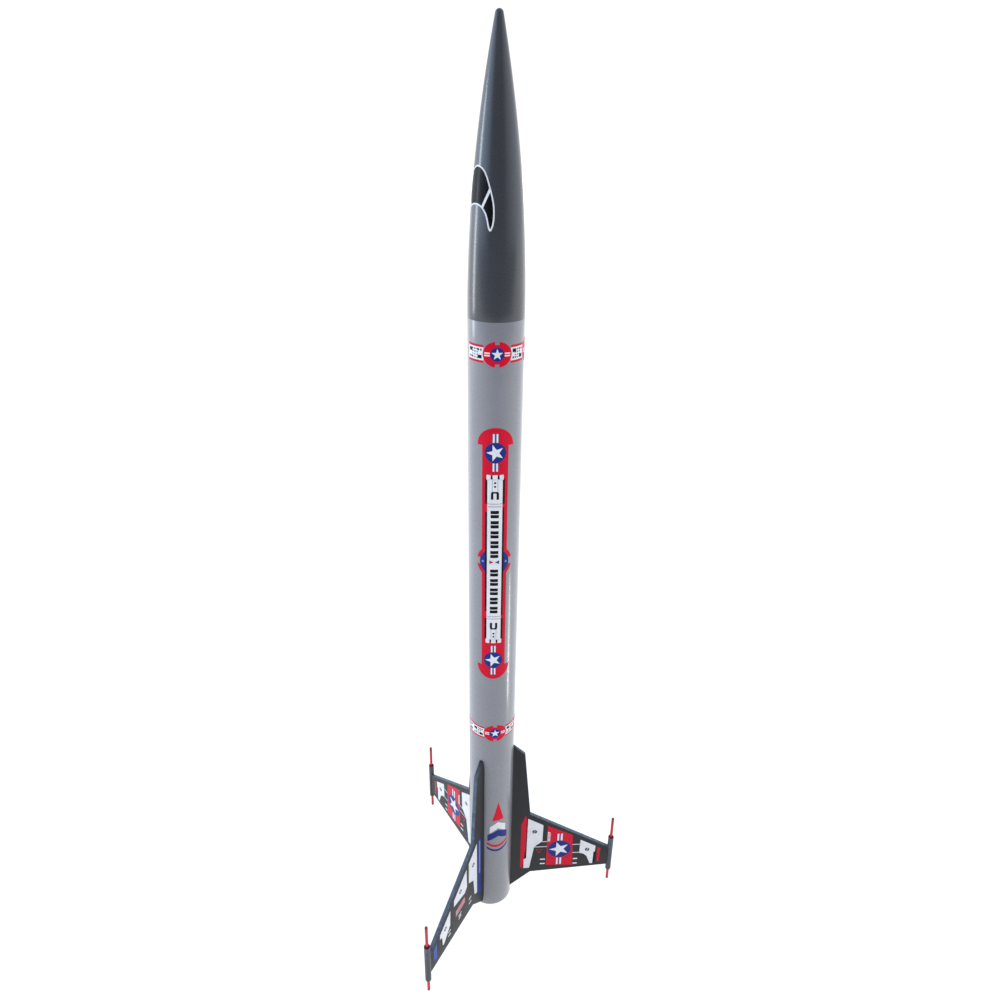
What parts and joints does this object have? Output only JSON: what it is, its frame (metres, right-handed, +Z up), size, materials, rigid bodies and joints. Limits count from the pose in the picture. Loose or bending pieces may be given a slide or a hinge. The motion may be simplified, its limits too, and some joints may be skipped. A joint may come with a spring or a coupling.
{
  "type": "model rocket",
  "caption": "Tall flying model rocket with a slide-off ogive nose, swept fins with tip pods and a hooked engine mount; stands on its tail.",
  "frame": {"origin": "on the body axis, in the plane of the tail end that the rocket stands on", "axes": "+Z up the body to the nose; +X along fin A; fins B and C follow every 120 degrees"},
  "size_m": [0.192, 0.2208, 0.7865],
  "materials": {
    "nose": "gloss dark grey paint on moulded plastic",
    "body": "gloss light grey paint on paper tube",
    "fin": "satin charcoal paint on thin wood sheet",
    "pod": "satin charcoal paint on paper tube",
    "dowel": "gloss red paint on round dowel",
    "card": "plain tan card",
    "insert": "plain dark moulded plastic",
    "spring_steel": "plain spring steel strip",
    "canopy": "thin crinkled canopy film"
  },
  "bodies": {
    "rocket": {"body_tube": "body", "motor_tube": "card", "centering_ring_forward": "card", "centering_ring_aft": "card", "thrust_ring": "card", "hook_sleeve": "card", "fin_a": "fin", "fin_b": "fin", "fin_c": "fin", "pod_tube_a": "pod", "pod_tube_b": "pod", "pod_tube_c": "pod", "pod_sleeve_a": "card", "pod_sleeve_b": "card", "pod_sleeve_c": "card", "pod_dowel_a": "dowel", "pod_dowel_b": "dowel", "pod_dowel_c": "dowel", "launch_lug_forward": "body", "launch_lug_aft": "body", "shock_cord_mount": "card"},
    "recovery": {"parachute_pack": "canopy"},
    "nose": {"nose_cone": "nose", "nose_insert": "insert"},
    "hook": {"engine_hook": "spring_steel"}
  },
  "joints": [
    {"name": "nose_lift", "type": "slide", "parent": "rocket", "child": "recovery", "axis": [0, 0, 1], "range_m": [0, 0.12]},
    {"name": "nose_spin", "type": "hinge", "parent": "recovery", "child": "nose", "pos_m": [0, 0, 0.58], "axis": [0, 0, 1], "continuous": true},
    {"name": "hook_flex", "type": "hinge", "parent": "rocket", "child": "hook", "pos_m": [-0.0129, 0, 0.0969], "axis": [0, 1, 0], "range_deg": [0, 2.5], "stiffness_Nm_per_rad": 0.8}
  ]
}
